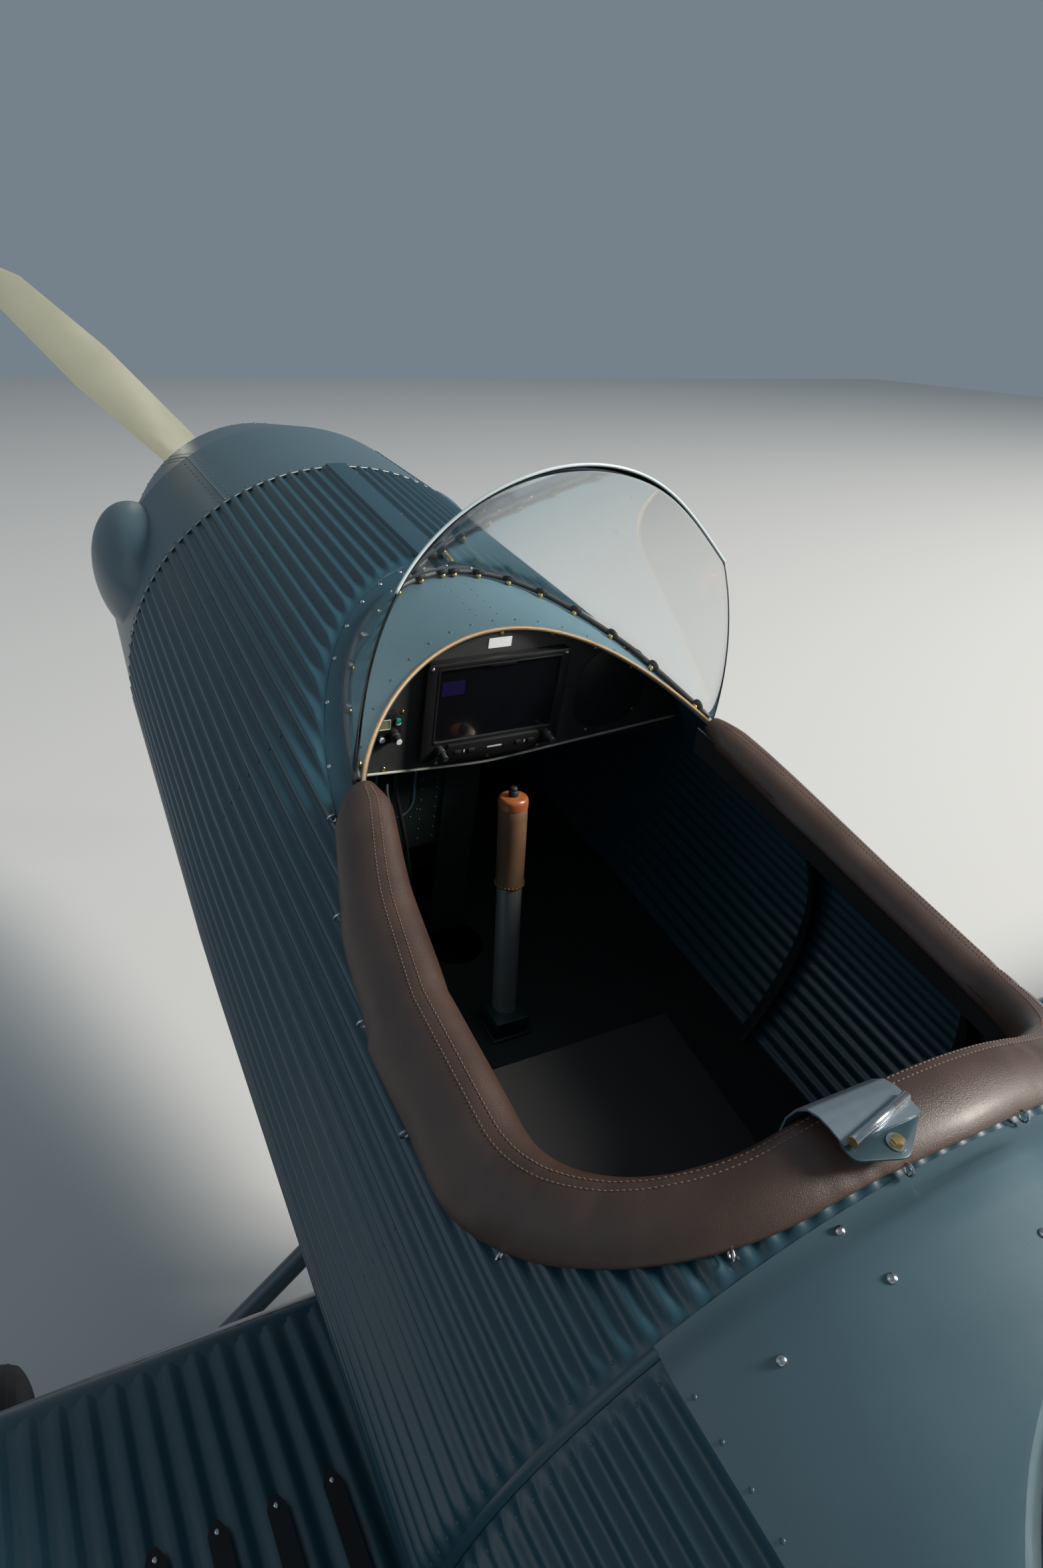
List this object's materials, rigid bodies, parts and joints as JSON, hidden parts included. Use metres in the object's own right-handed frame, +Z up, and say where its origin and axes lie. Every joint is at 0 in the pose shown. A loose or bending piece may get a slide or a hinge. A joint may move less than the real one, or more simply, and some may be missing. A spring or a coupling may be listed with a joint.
{
  "type": "light monoplane",
  "caption": "Low-wing light monoplane with corrugated metal skin, two open cockpits in line, tail wheel and two-blade propeller.",
  "frame": {"origin": "on the ground, below the middle of the whole aeroplane's box, as it stands on its three wheels", "axes": "+X towards the nose, +Y to port along the span, +Z up; the aeroplane stands nose up by about 12 degrees"},
  "size_m": [7.2096, 10.02, 2.2004],
  "materials": {
    "corrugated_skin": "satin petrol blue paint over corrugated sheet",
    "cowl_paint": "satin blue-grey paint over smooth sheet",
    "frame_paint": "dark green-grey frame paint",
    "panel_black": "crinkle black",
    "display_black": "dark display and case",
    "coaming_leather": "brown padded leather, double stitched",
    "screen_clear": "clear wrapped sheet",
    "stick_metal": "painted tube with leather grip",
    "seat_black": "black seat covering",
    "engine_metal": "cast block",
    "walkway_rubber": "black anti-slip strip",
    "leg_paint": "satin blue-grey paint",
    "blade_cream": "cream painted wood with a dark edge",
    "tyre": "black rubber",
    "rim_metal": "turned metal"
  },
  "bodies": {
    "airframe": {"body_front": "corrugated_skin", "body_mid": "corrugated_skin", "body_tail": "corrugated_skin", "firewall": "frame_paint", "floor": "frame_paint", "bulkhead_front": "frame_paint", "bulkhead_rear": "frame_paint", "panel_front": "panel_black", "panel_rear": "panel_black", "display_front": "display_black", "display_rear": "display_black", "radio": "display_black", "coaming_front": "coaming_leather", "coaming_rear": "coaming_leather", "windscreen_front": "screen_clear", "windscreen_rear": "screen_clear", "stick_front": "stick_metal", "stick_rear": "stick_metal", "seat_front": "seat_black", "seat_rear": "seat_black", "cowl_top": "cowl_paint", "cowl_left": "cowl_paint", "cowl_right": "cowl_paint", "cowl_lower": "cowl_paint", "nose_bowl": "cowl_paint", "engine_block": "engine_metal", "fin": "corrugated_skin", "wing_left": "corrugated_skin", "wing_right": "corrugated_skin", "walkway_left": "walkway_rubber", "walkway_right": "walkway_rubber", "tailplane_left": "corrugated_skin", "tailplane_right": "corrugated_skin", "leg_left": "leg_paint", "leg_right": "leg_paint", "tail_spring": "leg_paint"},
    "propeller": {"propeller": "blade_cream"},
    "wheel_left": {"tyre_left": "tyre", "rim_left": "rim_metal"},
    "wheel_right": {"tyre_right": "tyre", "rim_right": "rim_metal"},
    "tail_fork": {"tail_fork": "leg_paint"},
    "tail_wheel": {"tail_wheel": "tyre"},
    "aileron_left": {"aileron_left": "corrugated_skin"},
    "aileron_right": {"aileron_right": "corrugated_skin"},
    "elevator": {"elevator": "corrugated_skin"},
    "rudder": {"rudder": "corrugated_skin"}
  },
  "joints": [
    {"name": "propeller_spin", "type": "hinge", "parent": "airframe", "child": "propeller", "pos_m": [3.40768, 0, 1.56354], "axis": [0.9781, 0, 0.208], "continuous": true},
    {"name": "wheel_left_spin", "type": "hinge", "parent": "airframe", "child": "wheel_left", "pos_m": [1.38979, 1, 0.245], "axis": [0, 1, 0], "continuous": true},
    {"name": "wheel_right_spin", "type": "hinge", "parent": "airframe", "child": "wheel_right", "pos_m": [1.38979, -1, 0.245], "axis": [0, 1, 0], "continuous": true},
    {"name": "tail_fork_steer", "type": "hinge", "parent": "airframe", "child": "tail_fork", "pos_m": [-3.0142, 0, 0.2675], "axis": [0, 0, 1], "range_deg": [-32, 32]},
    {"name": "tail_wheel_spin", "type": "hinge", "parent": "tail_fork", "child": "tail_wheel", "pos_m": [-3.04708, 0, 0.1], "axis": [0, 1, 0], "continuous": true},
    {"name": "aileron_left_swing", "type": "hinge", "parent": "airframe", "child": "aileron_left", "pos_m": [0.05762, 2.7, 0.6495], "axis": [0.0803, 0.9904, 0.1127], "range_deg": [-22, 22]},
    {"name": "aileron_right_swing", "type": "hinge", "parent": "airframe", "child": "aileron_right", "pos_m": [0.05762, -2.7, 0.6495], "axis": [-0.0803, 0.9904, -0.1127], "range_deg": [-22, 22]},
    {"name": "elevator_swing", "type": "hinge", "parent": "airframe", "child": "elevator", "pos_m": [-2.98917, 0, 0.54886], "axis": [0, 1, 0], "range_deg": [-24, 28]},
    {"name": "rudder_swing", "type": "hinge", "parent": "airframe", "child": "rudder", "pos_m": [-3.15891, 0, 0.36146], "axis": [-0.208, 0, 0.9781], "range_deg": [-27, 27]}
  ],
  "couplings": [
    {"joint": "aileron_right_swing", "follows": "aileron_left_swing", "ratio": -1}
  ]
}
